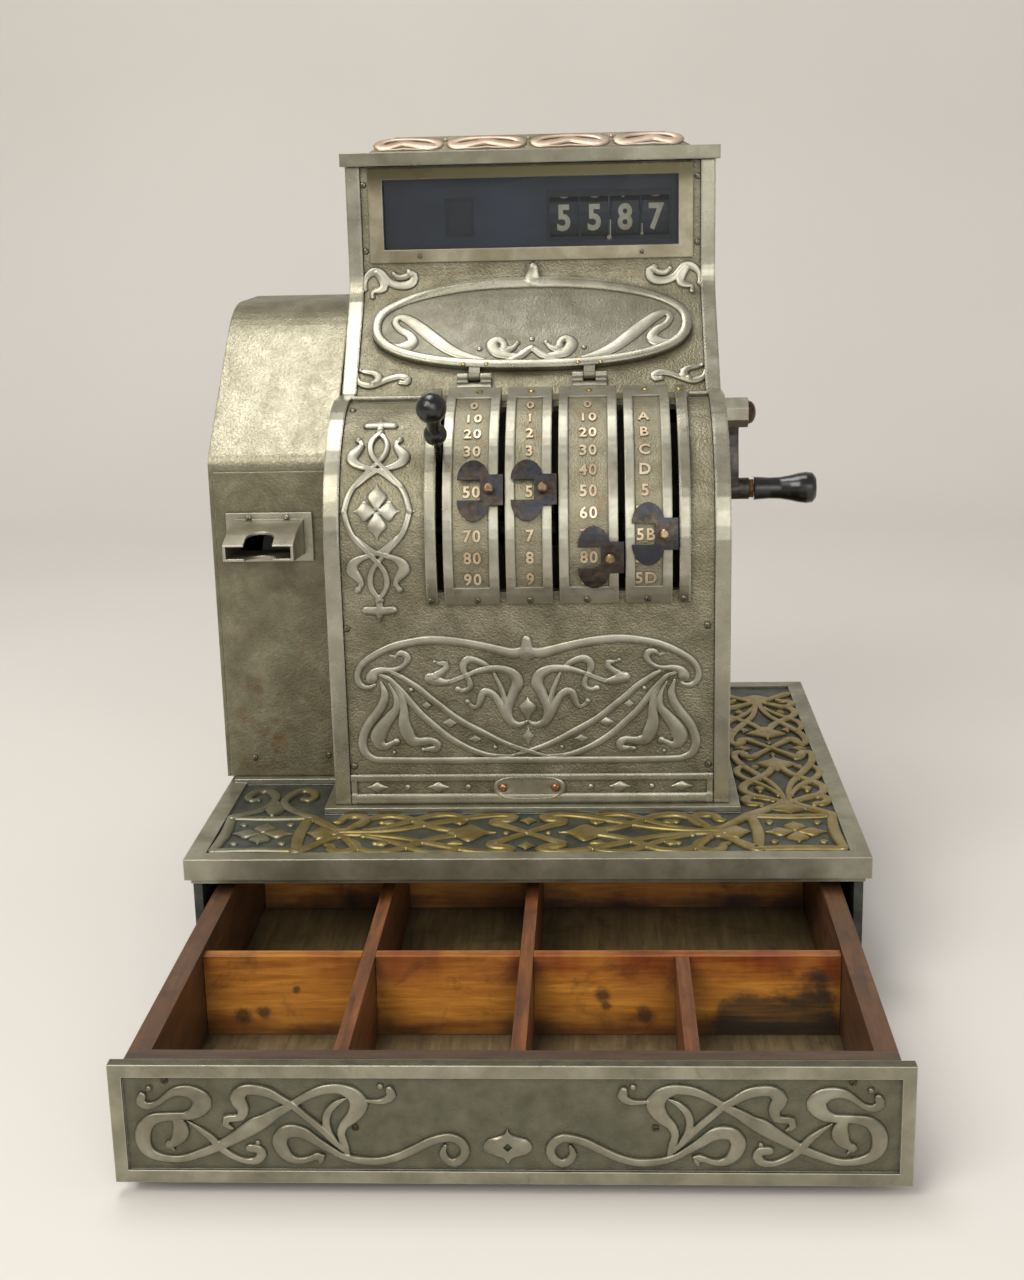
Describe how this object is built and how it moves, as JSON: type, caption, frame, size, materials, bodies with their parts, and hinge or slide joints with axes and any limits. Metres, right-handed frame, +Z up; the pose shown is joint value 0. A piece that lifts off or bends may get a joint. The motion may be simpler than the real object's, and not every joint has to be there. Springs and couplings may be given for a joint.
{
  "type": "antique cash register",
  "caption": "Antique lever cash register on a drawer base, with divided cash drawer, indexed selector levers, digit drums behind glass, hinged oval door, receipt chute and side crank.",
  "frame": {"origin": "middle of the face that the base stands on", "axes": "+X to the operator's right where the crank is, +Y away from the operator to the back, +Z up"},
  "size_m": [0.503, 0.724, 0.6233],
  "materials": {
    "base_nickel": "worn plated casting with brass-coloured relief",
    "case_iron": "dull dark paint over sheet steel",
    "floor_wood": "stained, unpolished",
    "drawer_wood": "warm brown, worn varnish",
    "cabinet_nickel": "worn nickel plate, stippled ground and smooth relief",
    "bright_nickel": "polished nickel plate with brown stains",
    "cover_nickel": "satin nickel plate, rust-spotted",
    "dark_steel": "oiled steel",
    "lever_steel": "browned steel",
    "crank_iron": "browned iron with a pale hub",
    "rusty_steel": "rusted",
    "black_knob": "glossy black",
    "mask_blue": "matt dark blue",
    "drum_black": "dark paint with cream digits",
    "counter_brass": "dull",
    "window_glass": "clear",
    "paper": "plain paper"
  },
  "bodies": {
    "cabinet": {"base_top_plate": "base_nickel", "base_side_right": "case_iron", "base_side_left": "case_iron", "base_back": "case_iron", "base_bottom": "floor_wood", "drawer_runner_right": "dark_steel", "drawer_runner_left": "dark_steel", "cabinet_side_right": "cabinet_nickel", "cabinet_side_left": "cabinet_nickel", "cabinet_back": "cabinet_nickel", "lower_front_panel": "cabinet_nickel", "upper_front_panel": "cabinet_nickel", "edge_strip_left": "bright_nickel", "index_strip_1": "bright_nickel", "index_strip_2": "bright_nickel", "index_strip_3": "bright_nickel", "index_strip_4": "bright_nickel", "edge_strip_right": "bright_nickel", "window_frame": "bright_nickel", "front_glass": "window_glass", "rear_glass": "window_glass", "lid": "cabinet_nickel", "lid_crest": "bright_nickel", "lever_shaft": "dark_steel", "indicator_mask": "mask_blue", "drum_shaft": "dark_steel", "door_hinge_left": "bright_nickel", "door_hinge_right": "bright_nickel", "printer_cover": "cover_nickel", "printer_front_plate": "cover_nickel", "receipt_chute": "bright_nickel", "paper_spindle": "dark_steel"},
    "drawer": {"drawer_front_plate": "base_nickel", "drawer_front_board": "drawer_wood", "drawer_side_right": "drawer_wood", "drawer_side_left": "drawer_wood", "drawer_back_board": "drawer_wood", "drawer_floor": "floor_wood", "drawer_cross_divider": "drawer_wood", "drawer_divider_left": "drawer_wood", "drawer_divider_middle": "drawer_wood", "drawer_divider_right": "drawer_wood"},
    "first_lever": {"lever_1": "lever_steel"},
    "second_lever": {"lever_2": "lever_steel"},
    "third_lever": {"lever_3": "lever_steel"},
    "fourth_lever": {"lever_4": "lever_steel"},
    "knob_lever_set": {"knob_lever": "lever_steel", "lever_knob": "black_knob"},
    "first_drum": {"digit_drum_1": "drum_black"},
    "second_drum": {"digit_drum_2": "drum_black"},
    "third_drum": {"digit_drum_3": "drum_black"},
    "fourth_drum": {"digit_drum_4": "drum_black"},
    "counter": {"counter_wheels": "counter_brass"},
    "door": {"oval_door": "cabinet_nickel"},
    "paper": {"paper_roll": "paper"},
    "crank": {"crank_shaft": "dark_steel", "crank_arm": "crank_iron", "crank_nut": "dark_steel", "crank_pin": "rusty_steel"},
    "grip": {"crank_handle": "black_knob"}
  },
  "joints": [
    {"name": "drawer_slide", "type": "slide", "parent": "cabinet", "child": "drawer", "axis": [0, -1, 0], "range_m": [-0.264, 0]},
    {"name": "lever_1_turn", "type": "hinge", "parent": "cabinet", "child": "first_lever", "pos_m": [0, -0.0098, 0.3102], "axis": [1, 0, 0], "range_deg": [-41, 32.8]},
    {"name": "lever_2_turn", "type": "hinge", "parent": "cabinet", "child": "second_lever", "pos_m": [0, -0.0098, 0.3102], "axis": [1, 0, 0], "range_deg": [-41, 32.8]},
    {"name": "lever_3_turn", "type": "hinge", "parent": "cabinet", "child": "third_lever", "pos_m": [0, -0.0098, 0.3102], "axis": [1, 0, 0], "range_deg": [-65.6, 8.2]},
    {"name": "lever_4_turn", "type": "hinge", "parent": "cabinet", "child": "fourth_lever", "pos_m": [0, -0.0098, 0.3102], "axis": [1, 0, 0], "range_deg": [-57.4, 16.4]},
    {"name": "knob_lever_turn", "type": "hinge", "parent": "cabinet", "child": "knob_lever_set", "pos_m": [0, -0.0098, 0.3102], "axis": [1, 0, 0], "range_deg": [-24.6, 49.2]},
    {"name": "drum_1_turn", "type": "hinge", "parent": "cabinet", "child": "first_drum", "pos_m": [0, 0.1508, 0.5541], "axis": [1, 0, 0], "range_deg": [-180, 144]},
    {"name": "drum_2_turn", "type": "hinge", "parent": "cabinet", "child": "second_drum", "pos_m": [0, 0.1508, 0.5541], "axis": [1, 0, 0], "range_deg": [-180, 144]},
    {"name": "drum_3_turn", "type": "hinge", "parent": "cabinet", "child": "third_drum", "pos_m": [0, 0.1508, 0.5541], "axis": [1, 0, 0], "range_deg": [-288, 36]},
    {"name": "drum_4_turn", "type": "hinge", "parent": "cabinet", "child": "fourth_drum", "pos_m": [0, 0.1508, 0.5541], "axis": [1, 0, 0], "range_deg": [-252, 72]},
    {"name": "counter_turn", "type": "hinge", "parent": "cabinet", "child": "counter", "pos_m": [0, 0.073, 0.4349], "axis": [1, 0, 0], "continuous": true},
    {"name": "door_swing", "type": "hinge", "parent": "cabinet", "child": "door", "pos_m": [0, 0.01955, 0.43133], "axis": [1, 0, 0], "range_deg": [0, 95]},
    {"name": "paper_turn", "type": "hinge", "parent": "cabinet", "child": "paper", "pos_m": [-0.206, 0.07, 0.2633], "axis": [1, 0, 0], "continuous": true},
    {"name": "crank_turn", "type": "hinge", "parent": "cabinet", "child": "crank", "pos_m": [0.155, 0.05, 0.395], "axis": [1, 0, 0], "continuous": true},
    {"name": "grip_spin", "type": "hinge", "parent": "crank", "child": "grip", "pos_m": [0.2, 0.05, 0.331], "axis": [1, 0, 0], "continuous": true}
  ],
  "couplings": [
    {"joint": "drum_1_turn", "follows": "lever_1_turn", "ratio": 4.3902},
    {"joint": "drum_2_turn", "follows": "lever_2_turn", "ratio": 4.3902},
    {"joint": "drum_3_turn", "follows": "lever_3_turn", "ratio": 4.3902},
    {"joint": "drum_4_turn", "follows": "lever_4_turn", "ratio": 4.3902},
    {"joint": "counter_turn", "follows": "crank_turn", "ratio": 0.1}
  ]
}
